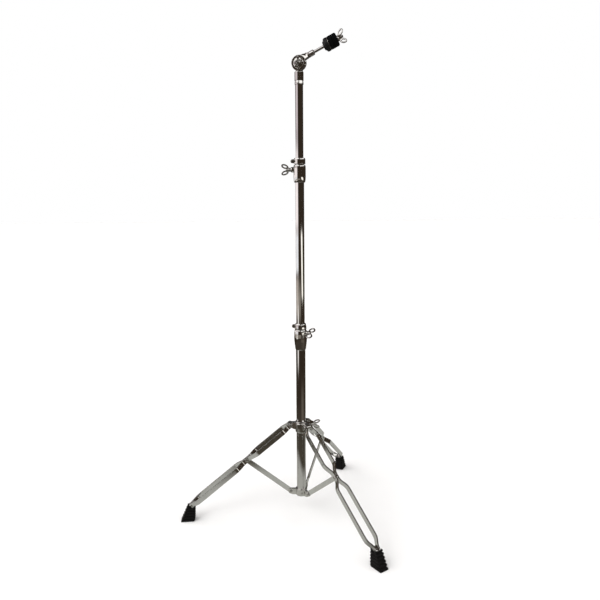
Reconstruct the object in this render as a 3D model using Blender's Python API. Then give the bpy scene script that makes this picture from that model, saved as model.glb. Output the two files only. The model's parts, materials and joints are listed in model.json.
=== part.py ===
"""Straight cymbal stand: folding tripod, three telescopic tubes and a ratchet tilter.

Metres, +Z up.  The stand rests on z = 0.  The origin is the middle of its box on the floor,
so the pole's axis stands at POLE_X.  Leg a points along -X, legs b and c at 300 and 60 degrees.

The tripod is a rhombus linkage: each strut and the upper part of each leg have the same
length, so the collar slides up the tube, level and centred, while the legs fold.
"""

import math

import bmesh
import bpy
from mathutils import Matrix, Vector

# ------------------------------------------------------------------ driving dimensions
GAP = 0.0003                    # clearance between neighbouring pieces
POLE_X = 0.08965                # the pole's axis

BASE_TUBE_R = 0.0143            # 28.6 mm, 25.4 mm and 22.2 mm tubes
MIDDLE_TUBE_R = 0.0127
UPPER_TUBE_R = 0.0111
TUBE_WALL = 0.0012
BASE_TUBE_Z = (0.0660, 0.5680)
MIDDLE_TUBE_Z = (0.5000, 1.0560)
UPPER_TUBE_Z = (0.8800, 1.3232)

LEG_AZIMUTHS = {"a": 180.0, "b": 300.0, "c": 60.0}
LEG_FROM_VERTICAL = math.radians(51.0)
LEG_SLOPE = math.pi / 2 - LEG_FROM_VERTICAL
PIVOT_R = 0.0340                # top and bottom pivots, from the pole's axis
LINK = 0.1765                   # pivot to pinch, on strut and on leg
STRUT_PIVOT_Z = 0.0800
PINCH_R = PIVOT_R + LINK * math.sin(LEG_FROM_VERTICAL)
PINCH_Z = STRUT_PIVOT_Z + LINK * math.cos(LEG_FROM_VERTICAL)
TOP_PIVOT_Z = STRUT_PIVOT_Z + 2 * LINK * math.cos(LEG_FROM_VERTICAL)

STRAP_WIDTH = 0.0145
STRAP_THICK = 0.0040
STRUT_WIDTH = 0.0150
STRUT_THICK = 0.0030
LUG_HALF = 0.0080               # half thickness of a collar lug
SPACER_HALF = 0.0037            # half thickness of the spacer at the foot
RIVET_R = 0.0030

FOOT_R = 0.3600                 # middle of the sole, from the pole's axis
FOOT_HEIGHT = 0.0500
FOOT_INNER = 0.3370             # the foot's inner and outer faces, from the pole's axis
FOOT_OUTER = 0.3820
SOLE_ROUND = 0.0080             # rounding of the sole's inner edge
STRAP_END = 0.4095              # strap's end, measured along the leg from its top pivot
FOOT_RIVET = 0.4015

LOWER_CLAMP_Z = (0.5410, 0.6030)
UPPER_CLAMP_Z = (1.0340, 1.0830)
LOWER_LOCK_Z = (0.6045, 0.6220)
PIN_Z = 0.0765                  # heights of the bracket's pin and of the wing screws
COLLAR_SCREW_Z = 0.2995
LOWER_SCREW_Z = 0.5945
UPPER_SCREW_Z = 1.0700
LOWER_BOSS_END = 0.0228         # where the screws' hubs sit, from the pole's axis
UPPER_BOSS_END = 0.0265
UPPER_LOCK_Z = (1.0850, 1.1020)

VIEW_RIGHT = -5.9               # azimuth of the stand's right-hand side
LOWER_SCREW_AZIMUTH = VIEW_RIGHT - 30.0
UPPER_SCREW_AZIMUTH = VIEW_RIGHT + 180.0
LOCK_SCREW_AZIMUTH = VIEW_RIGHT + 180.0

TILTER_Z = 1.3562
TILTER_AZIMUTH = VIEW_RIGHT - 14.0
ARM_ELEVATION = math.radians(24.5)
DISC_R = 0.0205
DISC_THICK = 0.0076
ROD_OFFSET = 0.0062             # rod's axis above the tilter's axis, square to the arm
ROD_R = 0.0040
SEAT_START = 0.0795             # along the rod, from the tilter's axis
SEAT_TOP = 0.0950
FELT_THICK = 0.0120
FELT_R = 0.0184
SLEEVE_R = 0.0060

ROUND = 24                      # facets round the tubes and castings
SMALL_ROUND = 12                # facets round screws and rivets


# ------------------------------------------------------------------ materials
def make_material(name, color, roughness, metallic):
    material = bpy.data.materials.new(name)
    material.use_nodes = True
    shader = material.node_tree.nodes["Principled BSDF"]
    shader.inputs["Base Color"].default_value = (*color, 1.0)
    shader.inputs["Roughness"].default_value = roughness
    shader.inputs["Metallic"].default_value = metallic
    material.diffuse_color = (*color, 1.0)
    return material


# ------------------------------------------------------------------ mesh builders
def turned(profile, segments=ROUND, axis="Z", phase=0.0):
    """Revolve (radius, height) points.  Ends on the axis give a solid, others a closed ring."""
    mesh = bmesh.new()
    rings = []
    for radius, height in profile:
        count = segments if radius > 0 else 1
        ring = []
        for step in range(count):
            angle = 2 * math.pi * (step + phase) / segments
            across, up = radius * math.cos(angle), radius * math.sin(angle)
            place = {"Z": (across, up, height), "Y": (across, height, up), "X": (height, across, up)}
            ring.append(mesh.verts.new(place[axis]))
        rings.append(ring)
    pairs = list(zip(rings, rings[1:]))
    if profile[0][0] > 0 and profile[-1][0] > 0:
        pairs.append((rings[-1], rings[0]))
    for first, second in pairs:
        for step in range(segments):
            after = (step + 1) % segments
            if len(first) == 1:
                mesh.faces.new((first[0], second[step], second[after]))
            elif len(second) == 1:
                mesh.faces.new((first[step], first[after], second[0]))
            else:
                mesh.faces.new((first[step], first[after], second[after], second[step]))
    return mesh


def plate(outline, low, high):
    """Extrude an outline of (x, z) points from y = low to y = high."""
    mesh = bmesh.new()
    near = [mesh.verts.new((x, low, z)) for x, z in outline]
    far = [mesh.verts.new((x, high, z)) for x, z in outline]
    mesh.faces.new(near)
    mesh.faces.new(far)
    for index in range(len(outline)):
        after = (index + 1) % len(outline)
        mesh.faces.new((near[index], near[after], far[after], far[index]))
    return mesh


def plate_ring(outer, inner, low, high):
    """Extrude the band between two outlines of the same number of (x, z) points."""
    mesh = bmesh.new()
    loops = []
    for outline, y in ((outer, low), (outer, high), (inner, high), (inner, low)):
        loops.append([mesh.verts.new((x, y, z)) for x, z in outline])
    for first, second in zip(loops, loops[1:] + loops[:1]):
        for index in range(len(outer)):
            after = (index + 1) % len(outer)
            mesh.faces.new((first[index], first[after], second[after], second[index]))
    return mesh


def block(x_range, y_range, z_range):
    corners = [(x_range[0], z_range[0]), (x_range[1], z_range[0]),
               (x_range[1], z_range[1]), (x_range[0], z_range[1])]
    return plate(corners, *y_range)


def bar(stations, thickness):
    """Flat bar on edge: (x, y, half width) stations along its middle, width along z."""
    mesh = bmesh.new()
    rings = []
    for index, (x, y, half_width) in enumerate(stations):
        before = stations[max(index - 1, 0)]
        after = stations[min(index + 1, len(stations) - 1)]
        into = Vector((x - before[0], y - before[1]))
        out = Vector((after[0] - x, after[1] - y))
        into = into.normalized() if into.length > 0 else out.normalized()
        out = out.normalized() if out.length > 0 else into
        along = (into + out).normalized()
        reach = thickness / 2 / along.dot(into)
        side = Vector((-along.y, along.x)) * reach
        ring = []
        for sign, height in ((1, -half_width), (1, half_width), (-1, half_width), (-1, -half_width)):
            ring.append(mesh.verts.new((x + sign * side.x, y + sign * side.y, height)))
        rings.append(ring)
    mesh.faces.new(rings[0])
    mesh.faces.new(rings[-1])
    for first, second in zip(rings, rings[1:]):
        for index in range(4):
            after = (index + 1) % 4
            mesh.faces.new((first[index], first[after], second[after], second[index]))
    return mesh


def arc(centre, radius, start, end, steps):
    """Points on an arc, angles in degrees."""
    points = []
    for step in range(steps + 1):
        angle = math.radians(start + (end - start) * step / steps)
        points.append((centre[0] + radius * math.cos(angle), centre[1] + radius * math.sin(angle)))
    return points


# ------------------------------------------------------------------ objects and places
def make_object(name, mesh, material, parent=None, location=(0, 0, 0), rotation=(0, 0, 0)):
    bmesh.ops.recalc_face_normals(mesh, faces=mesh.faces)
    data = bpy.data.meshes.new(name)
    mesh.to_mesh(data)
    mesh.free()
    data.shade_smooth()
    data.set_sharp_from_angle(angle=math.radians(35))
    data.materials.append(material)
    piece = bpy.data.objects.new(name, data)
    piece.parent = parent
    piece.location = location
    piece.rotation_euler = rotation
    bpy.context.scene.collection.objects.link(piece)
    return piece


def make_empty(name, parent=None, location=(0, 0, 0), rotation=(0, 0, 0)):
    empty = bpy.data.objects.new(name, None)
    empty.empty_display_size = 0.02
    empty.parent = parent
    empty.location = location
    empty.rotation_euler = rotation
    bpy.context.scene.collection.objects.link(empty)
    return empty


def combine(piece, mesh, operation, location=(0, 0, 0), rotation=(0, 0, 0)):
    """Add or cut a tool shape, given in the frame of the piece's parent."""
    tool = make_object("tool", mesh, piece.data.materials[0], piece.parent, location, rotation)
    modifier = piece.modifiers.new(operation, "BOOLEAN")
    modifier.operation = operation
    modifier.solver = "EXACT"
    modifier.object = tool
    bpy.context.view_layer.update()
    evaluated = piece.evaluated_get(bpy.context.evaluated_depsgraph_get())
    result = bpy.data.meshes.new_from_object(evaluated)
    piece.modifiers.clear()
    piece.data = result
    result.shade_smooth()
    result.set_sharp_from_angle(angle=math.radians(35))
    bpy.data.objects.remove(tool)


def radial(distance, azimuth, height=0.0):
    angle = math.radians(azimuth)
    return (distance * math.cos(angle), distance * math.sin(angle), height)


def pointing_out(azimuth, roll=0.0):
    """Rotation that turns a screw's +Z to the horizontal direction of an azimuth."""
    turn = Matrix.Rotation(math.radians(azimuth), 3, "Z") @ Matrix.Rotation(math.pi / 2, 3, "Y")
    return (turn @ Matrix.Rotation(math.radians(roll), 3, "Z")).to_euler()


def pin_profile(half_grip, shank_r, head_r, head_height):
    """Rivet with a low domed head at each end."""
    side = half_grip + GAP
    half = [(shank_r, side), (head_r, side), (0.7 * head_r, side + 0.8 * head_height),
            (0, side + head_height)]
    return [(radius, -height) for radius, height in reversed(half)] + half


def rivet(name, half_grip, parent, location, turn=0.0, head_r=0.0052, head_height=0.0018):
    profile = pin_profile(half_grip, RIVET_R - GAP, head_r, head_height)
    return make_object(name, turned(profile, 8, "Y"), STEEL, parent, location, (0, 0, turn))


def drill(piece, radius, low, high, location, axis="Y", rotation=(0, 0, 0)):
    """Cut a round hole; its facets are turned half a step off the piece's own."""
    profile = [(0, low), (radius, low), (radius, high), (0, high)]
    combine(piece, turned(profile, SMALL_ROUND, axis, 0.5), "DIFFERENCE", location, rotation)


# ------------------------------------------------------------------ telescopic pole
def tube(name, radius, heights, parent):
    low, high = heights
    profile = [(radius, low), (radius, high), (radius - TUBE_WALL, high), (radius - TUBE_WALL, low)]
    return make_object(name, turned(profile), CHROME, parent, (0, 0, -parent_height(parent)))


def parent_height(parent):
    return parent["height"]


def pole_empty(name, parent, height):
    """Empty on the pole's axis; pieces below it are placed by their height above the floor."""
    offset = height - (parent["height"] if parent else 0.0)
    empty = make_empty(name, parent, (0, 0, offset) if parent else (POLE_X, 0, height))
    empty["height"] = height
    return empty


def wing_piece(name, parent, location, rotation, shank, hub_r=0.0058, ear=(0.0112, 0.0068),
               ear_place=(0.0098, 0.0150), sweep=25.0, bore=0.0):
    """Wing screw (shank > 0) or wing nut (bore > 0); z = 0 is the hub's seat, +Z the free end.

    Each wing is a flat oval ring, half its length and half its width in ear, swept forward.
    """
    hub_height = 0.0115
    top_r = 0.68 * hub_r
    if bore:
        profile = [(bore, 0), (hub_r, 0), (hub_r, 0.0025), (top_r, hub_height), (bore, hub_height)]
    else:
        profile = [(0, -shank), (RIVET_R - GAP, -shank), (RIVET_R - GAP, 0), (hub_r, 0),
                   (hub_r, 0.0025), (top_r, hub_height), (0, hub_height + 0.0010)]
    piece = make_object(name, turned(profile, SMALL_ROUND), CHROME, parent, location, rotation)
    band, half_thick = 0.0042, 0.0018
    for sign in (1, -1):
        outlines = []
        for inset in (0.0, band):
            oval = []
            for step in range(12):
                angle = 2 * math.pi * (step + 0.5) / 12
                along = (ear[0] - inset) * math.cos(angle)
                across = (ear[1] - inset) * math.sin(angle)
                lean = math.radians(sweep)
                oval.append((sign * (ear_place[0] + across * math.cos(lean) + along * math.sin(lean)),
                             ear_place[1] + along * math.cos(lean) - across * math.sin(lean)))
            outlines.append(oval)
        combine(piece, plate_ring(*outlines, -half_thick, half_thick), "UNION", location, rotation)
    return piece


def clamp(prefix, parent, heights, tube_top, outer_tube_r, inner_tube_r, outline, screw, roll, **wings):
    """Cast clamp on a tube's end, its nylon sleeve and its wing screw.

    outline lists (radius, share of the height) for the outer face; screw gives the wing screw's
    azimuth, its height and the end of its boss; wings may give the screw's own ear sizes.
    """
    low, high = heights
    drop = -parent["height"]
    seat = tube_top + GAP
    sleeve_r = outer_tube_r + 0.0012
    outside = [(radius, low + share * (high - low)) for radius, share in outline]
    inside = [(sleeve_r + GAP, high), (sleeve_r + GAP, seat), (outer_tube_r + GAP, seat),
              (outer_tube_r + GAP, low)]
    body = make_object(prefix + "_body", turned(outside + inside), CHROME, parent, (0, 0, drop))
    azimuth, height, boss_end = screw
    place = (0, 0, height + drop)
    turn = pointing_out(azimuth)
    boss = [(0, sleeve_r + 0.0010), (0.0078, sleeve_r + 0.0010), (0.0074, boss_end - 0.0040),
            (0.0058, boss_end - 0.0010), (0.0048, boss_end), (0, boss_end)]
    combine(body, turned(boss, SMALL_ROUND), "UNION", place, turn)
    drill(body, RIVET_R, 0.0100, boss_end + 0.0050, place, "Z", turn)

    sleeve = [(inner_tube_r + GAP, seat + GAP), (sleeve_r, seat + GAP), (sleeve_r, high),
              (sleeve_r - 0.0004, high + 0.0006), (inner_tube_r + GAP, high + 0.0006)]
    make_object(prefix + "_sleeve", turned(sleeve), NYLON, parent, (0, 0, drop))

    hub_place = Vector(radial(boss_end + GAP, azimuth, height + drop))
    shank = boss_end - sleeve_r
    wing_piece(prefix + "_wing_screw", parent, hub_place, pointing_out(azimuth, roll), shank, **wings)


def memory_lock(prefix, parent, heights, tube_r, outline, azimuth):
    """Split ring that marks a tube's height, and the square-headed screw through its ears."""
    low, high = heights
    drop = -parent["height"]
    outside = [(radius, low + share * (high - low)) for radius, share in outline]
    inside = [(tube_r + GAP, high), (tube_r + GAP, low)]
    ring = make_object(prefix, turned(outside + inside), CHROME, parent, (0, 0, drop))
    turn = (0, 0, math.radians(azimuth))
    middle = (low + high) / 2 + drop
    ear_r, ear_half = 0.0208, 0.0044
    ear = arc((ear_r, 0), 0.0052, -90, 90, 4) + [(tube_r + 0.0012, 0.0052), (tube_r + 0.0012, -0.0052)]
    combine(ring, plate(ear, -ear_half, ear_half), "UNION", (0, 0, middle), turn)
    split = block((tube_r - 0.0010, 0.0300), (-0.0008, 0.0008), (-0.0200, 0.0200))
    combine(ring, split, "DIFFERENCE", (0, 0, middle), turn)
    place = radial(ear_r, azimuth, middle)
    drill(ring, 0.0026, -0.01, 0.01, place, "Y", turn)

    screw = [(0, -ear_half - 0.0020), (0.0023, -ear_half - 0.0020), (0.0023, ear_half + GAP),
             (0.0036, ear_half + GAP), (0.0036, ear_half + 0.0022), (0, ear_half + 0.0022)]
    piece = make_object(prefix + "_screw", turned(screw, 12, "Y"), STEEL, parent, place, turn)
    head = block((-0.0023, 0.0023), (ear_half + 0.0010, ear_half + 0.0068), (-0.0023, 0.0023))
    combine(piece, head, "UNION", place, turn)


# ------------------------------------------------------------------ tripod
def strap_stations(side):
    """Middle line of one strap in its leg's frame: x from the pinch towards the foot."""
    half = STRAP_WIDTH / 2
    top = LUG_HALF + GAP + STRAP_THICK / 2
    spread = 0.0186
    pinch = STRUT_THICK / 2 + GAP + STRAP_THICK / 2
    foot = SPACER_HALF + GAP + STRAP_THICK / 2
    line = []
    for angle in (25, 50, 72):
        line.append((-half * math.cos(math.radians(angle)), top, half * math.sin(math.radians(angle))))
    for along, offset in ((0.0, top), (0.0120, top), (0.0280, spread), (0.1370, spread),
                          (0.1630, pinch), (0.1900, pinch), (0.2130, spread), (0.3740, spread),
                          (0.3965, foot), (STRAP_END - 0.0030, foot)):
        line.append((along, offset, half))
    line.append((STRAP_END, foot, half - 0.0030))
    return [(along - LINK, side * offset, width) for along, offset, width in line]


def strut_stations():
    half = STRUT_WIDTH / 2
    stations = []
    for angle in (25, 50, 72, 90):
        cosine, sine = math.cos(math.radians(angle)), math.sin(math.radians(angle))
        stations.append((-half * cosine, 0, half * sine))
    mirrored = [(LINK - x, y, width) for x, y, width in reversed(stations)]
    return stations + mirrored


def foot_section(height, inset):
    """Rounded rectangle of the foot at a height; inset shrinks its sides, and its outer face by less.

    The sole's inner edge is rounded, where the foot rolls as the legs fold.
    """
    share = height / FOOT_HEIGHT
    lift = max(0.0, 1.0 - height / SOLE_ROUND)
    inner = FOOT_INNER - 0.0020 * share - FOOT_R + SOLE_ROUND * (1 - math.sqrt(1 - lift * lift))
    outer = FOOT_OUTER - 0.0220 * share - FOOT_R - 0.45 * inset
    half_y = 0.0158 - 0.0020 * share - inset
    corner = 0.0055
    points = []
    for x, y, start in ((outer - corner, half_y - corner, 0), (inner + corner, half_y - corner, 90),
                        (inner + corner, corner - half_y, 180), (outer - corner, corner - half_y, 270)):
        points += arc((x, y), corner, start, start + 90, 2)
    return [(x, y, height) for x, y in points]


def foot_mesh():
    """Ribbed rubber foot: each rib a full step over a narrower groove."""
    mesh = bmesh.new()
    levels = [(0.0, 0.0012), (0.0012, 0.0)]
    ribs = 5
    pitch = 0.0092
    groove = 0.0028
    for rib in range(1, ribs + 1):
        start = rib * pitch - 0.0015
        levels += [(start - 0.0034, 0.0), (start, groove), (start + 0.0034, 0.0)]
    levels += [(FOOT_HEIGHT, 0.0022)]
    rings = [[mesh.verts.new(point) for point in foot_section(*level)] for level in levels]
    mesh.faces.new(rings[0])
    mesh.faces.new(rings[-1])
    for first, second in zip(rings, rings[1:]):
        for index in range(len(first)):
            after = (index + 1) % len(first)
            mesh.faces.new((first[index], first[after], second[after], second[index]))
    return mesh


def make_leg(letter, azimuth, pole, collar_empty, shift):
    turn = math.radians(azimuth)
    strut_empty = make_empty("strut_" + letter + "_pivot", pole, radial(PIVOT_R, azimuth, STRUT_PIVOT_Z),
                             (0, -LEG_SLOPE, turn))
    strut = make_object("strut_" + letter, bar(strut_stations(), STRUT_THICK), CHROME, strut_empty)
    for place in (0.0, LINK):
        drill(strut, RIVET_R, -0.01, 0.01, (place, 0, 0))
    bracket_half = STRUT_THICK / 2 + GAP + 0.0025
    rivet("strut_rivet_" + letter, bracket_half, pole, radial(PIVOT_R, azimuth, STRUT_PIVOT_Z), turn)

    leg_empty = make_empty("leg_" + letter + "_pivot", pole, radial(PINCH_R, azimuth, PINCH_Z),
                           (0, LEG_SLOPE, turn))
    for side, word in ((1, "left"), (-1, "right")):
        strap = make_object("leg_" + letter + "_" + word + "_strap", bar(strap_stations(side), STRAP_THICK),
                            CHROME, leg_empty)
        for along in (0.0, LINK, FOOT_RIVET):
            drill(strap, RIVET_R, -0.03, 0.03, (along - LINK, 0, 0))
    rivet("leg_rivet_" + letter, STRUT_THICK / 2 + GAP + STRAP_THICK, leg_empty, (0, 0, 0))
    half = STRAP_WIDTH / 2 - 0.0010
    start, end = FOOT_RIVET - 0.0085 - LINK, STRAP_END - LINK
    spacer_mesh = block((start, end), (-SPACER_HALF, SPACER_HALF), (-half, half))
    spacer = make_object("foot_spacer_" + letter, spacer_mesh, STEEL, leg_empty)
    drill(spacer, RIVET_R, -0.01, 0.01, (FOOT_RIVET - LINK, 0, 0))
    rivet("foot_rivet_" + letter, SPACER_HALF + GAP + STRAP_THICK, leg_empty, (FOOT_RIVET - LINK, 0, 0),
          head_r=0.0040, head_height=0.0012)

    foot_place = leg_empty.rotation_euler.to_matrix().transposed() @ Vector(
        (radial(FOOT_R - PINCH_R, azimuth, -PINCH_Z)))
    foot = make_object("rubber_foot_" + letter, foot_mesh(), RUBBER, leg_empty, foot_place,
                       (0, -LEG_SLOPE, 0))
    pocket = STRAP_WIDTH / 2 + GAP
    depth = SPACER_HALF + STRAP_THICK + 2 * GAP
    for end, half_slot in ((FOOT_RIVET + 0.0045, 0.0300), (STRAP_END + GAP, depth)):
        slot = block((0.3600 - LINK, end - LINK), (-half_slot, half_slot), (-pocket, pocket + 0.02))
        combine(foot, slot, "DIFFERENCE")

    rivet("collar_rivet_" + letter, LUG_HALF + GAP + STRAP_THICK, collar_empty,
          Vector(radial(PIVOT_R, azimuth)) - shift, turn)


def make_bracket(pole):
    """Ring with three pairs of ears round the foot of the base tube."""
    inner, outer = BASE_TUBE_R + GAP, 0.0182
    low, high = 0.0665, 0.0865
    profile = [(inner, low), (outer - 0.0008, low), (outer, low + 0.0008), (outer, high - 0.0008),
               (outer - 0.0008, high), (inner, high)]
    bracket = make_object("lower_bracket", turned(profile), CHROME, pole)
    ear = [(0.0165, low + 0.0010), (0.0300, low + 0.0025)] + \
        arc((PIVOT_R, STRUT_PIVOT_Z), 0.0085, -75, 105, 5) + [(0.0165, high - 0.0010)]
    inside = STRUT_THICK / 2 + GAP
    for azimuth in LEG_AZIMUTHS.values():
        for side in (1, -1):
            edges = sorted((side * inside, side * (inside + 0.0025)))
            combine(bracket, plate(ear, *edges), "UNION", (0, 0, 0), (0, 0, math.radians(azimuth)))
        drill(bracket, RIVET_R, -0.01, 0.01, radial(PIVOT_R, azimuth, STRUT_PIVOT_Z), "Y",
              (0, 0, math.radians(azimuth)))


def make_collar(collar_empty, shift):
    """Sliding ring with three lugs and the boss of its wing screw."""
    sleeve_r = BASE_TUBE_R + GAP + 0.0012
    down = TOP_PIVOT_Z
    centre = -shift
    inner = sleeve_r + GAP
    profile = [(0, 0.2770), (0.0155, 0.2770), (0.0158, 0.2785), (0.0176, 0.2850), (0.0190, 0.2930),
               (0.0190, 0.3060), (0.0180, 0.3075), (0.0180, 0.3105), (0.0172, 0.3120), (0, 0.3120)]
    profile = [(radius, height - down) for radius, height in profile]
    collar = make_object("leg_collar", turned(profile), CHROME, collar_empty, centre)
    lug = [(0.0120, -0.0170), (0.0230, -0.0135)] + arc((PIVOT_R, 0), 0.0075, -80, 90, 5) + [(0.0120, 0.0075)]
    for azimuth in LEG_AZIMUTHS.values():
        turn = (0, 0, math.radians(azimuth))
        combine(collar, plate(lug, -LUG_HALF, LUG_HALF), "UNION", centre, turn)
    for azimuth in LEG_AZIMUTHS.values():
        turn = (0, 0, math.radians(azimuth))
        drill(collar, RIVET_R, -0.02, 0.02, Vector(radial(PIVOT_R, azimuth)) + centre, "Y", turn)
    screw_place = centre + Vector((0, 0, COLLAR_SCREW_Z - down))
    boss_end = 0.0330
    boss = [(0, 0.0120), (0.0072, 0.0120), (0.0068, 0.0250), (0.0056, boss_end), (0, boss_end)]
    combine(collar, turned(boss, SMALL_ROUND), "UNION", screw_place, pointing_out(0.0))
    drill(collar, RIVET_R, 0.0100, boss_end + 0.0050, screw_place, "Z", pointing_out(0.0))
    lip = 0.2815 - down
    bore = [(0, -0.05), (BASE_TUBE_R + GAP, -0.05), (BASE_TUBE_R + GAP, lip), (inner, lip), (inner, 0.05),
            (0, 0.05)]
    combine(collar, turned(bore, ROUND), "DIFFERENCE", centre, (0, 0, math.radians(4.0)))

    bottom, top = lip + GAP, 0.3125 - down
    sleeve = [(BASE_TUBE_R + GAP, bottom), (sleeve_r, bottom), (sleeve_r, top), (BASE_TUBE_R + GAP, top)]
    make_object("collar_sleeve", turned(sleeve), NYLON, collar_empty, centre)
    hub = screw_place + Vector((boss_end + GAP, 0, 0))
    wing_piece("collar_wing_screw", collar_empty, hub, pointing_out(0.0, 18.0), boss_end - sleeve_r)


# ------------------------------------------------------------------ tilter and cymbal seat
def make_tilter(tilter, arm_frame):
    """Ratchet tilter: the base carries the rear disc, the arm the front disc and the rod."""
    bore = UPPER_TUBE_R + GAP
    ferrule = [(0, -0.0212), (0.0100, -0.0212), (0.0126, -0.0235), (0.0126, -0.0452), (0.0117, -0.0462),
               (0.0117, -0.0470), (0.0121, -0.0500), (0.0125, -0.0550), (0.0122, -0.0565), (bore, -0.0565),
               (bore, -0.0327), (0, -0.0327)]
    base = make_object("tilter_base", turned(ferrule), CHROME, tilter)
    combine(base, block((-0.0095, 0.0095), (0.0008, DISC_THICK), (-0.0260, -0.0080)), "UNION")
    disc = [(0, GAP / 2), (DISC_R, GAP / 2), (DISC_R, DISC_THICK - 0.0012), (DISC_R - 0.0012, DISC_THICK),
            (0, DISC_THICK)]
    combine(base, turned(disc, ROUND, "Y"), "UNION")
    drill(base, 0.0033, -0.02, 0.02, (0, 0, 0))

    front = [(radius, -along) for radius, along in disc]
    arm = make_object("tilter_arm", turned(front, ROUND, "Y"), CHROME, arm_frame)
    rod_z = ROD_OFFSET
    bottom, top = rod_z - 0.0080, rod_z + 0.0100
    cheek = [(0.0020, -0.0150), (0.0180, -0.0040), (0.0300, bottom), (0.0300, top), (0.0040, DISC_R - 0.0015)]
    combine(arm, plate(cheek, -DISC_THICK + 0.0006, -0.0006), "UNION")
    combine(arm, block((0.0225, 0.0300), (-DISC_THICK + 0.0006, 0.0068), (bottom, top)), "UNION")
    drill(arm, 0.0033, -0.02, 0.02, (0, 0, 0))
    drill(arm, ROD_R + GAP, 0.0240, 0.0400, (0, 0, rod_z), "X")

    face = DISC_THICK + GAP
    bolt = [(0, -0.0240), (0.0030, -0.0240), (0.0030, face), (0.0064, face), (0.0064, face + 0.0036),
            (0.0052, face + 0.0044), (0, face + 0.0044)]
    make_object("tilter_bolt", turned(bolt, SMALL_ROUND, "Y"), STEEL, tilter)
    washer = [(0.0033, -face), (0.0090, -face), (0.0090, -face - 0.0014), (0.0033, -face - 0.0014)]
    make_object("tilter_washer", turned(washer, SMALL_ROUND, "Y"), STEEL, tilter)
    nut_turn = Matrix.Rotation(math.pi / 2, 3, "X") @ Matrix.Rotation(math.radians(75.0), 3, "Z")
    wing_piece("tilter_wing_nut", tilter, (0, -face - 0.0017, 0), nut_turn.to_euler(), 0.0,
               hub_r=0.0066, ear=(0.0085, 0.0055), ear_place=(0.0094, 0.0110), bore=0.0033)


def make_seat(arm_frame, lift_frame):
    """Rod, lock nut, seat, washer, sleeve, two felts and the wing nut, in line."""
    rod_z = ROD_OFFSET
    line = (0, 0, rod_z)
    rod = [(0, 0.0245), (ROD_R, 0.0245), (ROD_R, 0.0368), (0.0074, 0.0368), (0.0074, 0.0490),
           (0.0060, 0.0502), (ROD_R, 0.0502), (ROD_R, 0.1370), (ROD_R - 0.0010, 0.1380), (0, 0.1380)]
    make_object("cymbal_rod", turned(rod, SMALL_ROUND, "X"), CHROME, arm_frame, line)
    hexagon = [(0, 0.0303), (0.0080, 0.0303), (0.0080, 0.0365), (0, 0.0365)]
    nut = make_object("rod_lock_nut", turned(hexagon, 6, "X"), STEEL, arm_frame, line)
    drill(nut, ROD_R + GAP, 0.02, 0.05, line, "X")

    bore = ROD_R + GAP
    seat = [(bore, SEAT_START), (0.0098, SEAT_START), (0.0118, SEAT_START + 0.0010),
            (0.0125, SEAT_START + 0.0035), (0.0168, SEAT_START + 0.0050), (FELT_R, SEAT_START + 0.0068),
            (FELT_R, SEAT_TOP - 0.0006), (FELT_R - 0.0006, SEAT_TOP), (bore, SEAT_TOP)]
    make_object("cymbal_seat", turned(seat, ROUND, "X"), PLASTIC, arm_frame, line)
    sleeve_end = SEAT_TOP + 0.0225
    sleeve = [(bore, SEAT_TOP + GAP), (SLEEVE_R, SEAT_TOP + GAP), (SLEEVE_R, sleeve_end), (bore, sleeve_end)]
    make_object("rod_sleeve", turned(sleeve, SMALL_ROUND, "X"), NYLON, arm_frame, line)
    hole = SLEEVE_R + GAP
    washer_top = SEAT_TOP + GAP + 0.0012
    washer = [(hole, SEAT_TOP + GAP), (0.0172, SEAT_TOP + GAP), (0.0172, washer_top), (hole, washer_top)]
    make_object("seat_washer", turned(washer, 24, "X"), STEEL, arm_frame, line)

    def felt(name, start, frame, place):
        end = start + FELT_THICK
        rim = 0.0016
        profile = [(hole, start), (FELT_R - rim, start), (FELT_R, start + rim), (FELT_R, end - rim),
                   (FELT_R - rim, end), (hole, end)]
        make_object(name, turned(profile, ROUND, "X"), FELT, frame, place)
        return end

    lower_end = felt("lower_felt", washer_top + GAP, arm_frame, line)
    upper_end = felt("upper_felt", lower_end + GAP, lift_frame, (0, 0, 0))
    out_of_rod = Matrix.Rotation(math.pi / 2, 3, "Y") @ Matrix.Rotation(math.radians(-12.0), 3, "Z")
    wing_piece("cymbal_wing_nut", lift_frame, (upper_end + GAP, 0, 0), out_of_rod.to_euler(), 0.0,
               hub_r=0.0078, ear=(0.0105, 0.0068), ear_place=(0.0128, 0.0125), sweep=35.0, bore=ROD_R + GAP)


# ------------------------------------------------------------------ build
for old in list(bpy.data.objects):
    bpy.data.objects.remove(old)

CHROME = make_material("chrome", (0.62, 0.61, 0.59), 0.08, 1.0)
STEEL = make_material("steel", (0.48, 0.47, 0.45), 0.25, 1.0)
RUBBER = make_material("rubber", (0.012, 0.012, 0.012), 0.62, 0.0)
FELT = make_material("felt", (0.010, 0.010, 0.011), 0.95, 0.0)
PLASTIC = make_material("seat_plastic", (0.014, 0.014, 0.015), 0.45, 0.0)
NYLON = make_material("nylon", (0.05, 0.05, 0.05), 0.5, 0.0)

pole_frame = pole_empty("pole", None, 0.0)
tube("base_tube", BASE_TUBE_R, BASE_TUBE_Z, pole_frame)
make_bracket(pole_frame)
pin = [(0, -0.0198), (0.0032, -0.0198), (0.0032, -0.0185), (0.0019, -0.0185), (0.0019, 0.0185),
       (0.0032, 0.0185), (0.0032, 0.0198), (0, 0.0198)]
make_object("bracket_pin", turned(pin, 12, "Y"), STEEL, pole_frame, (0, 0, PIN_Z))
for pinned in ("lower_bracket", "base_tube"):
    drill(bpy.data.objects[pinned], 0.0022, -0.03, 0.03, (0, 0, PIN_Z))

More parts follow.
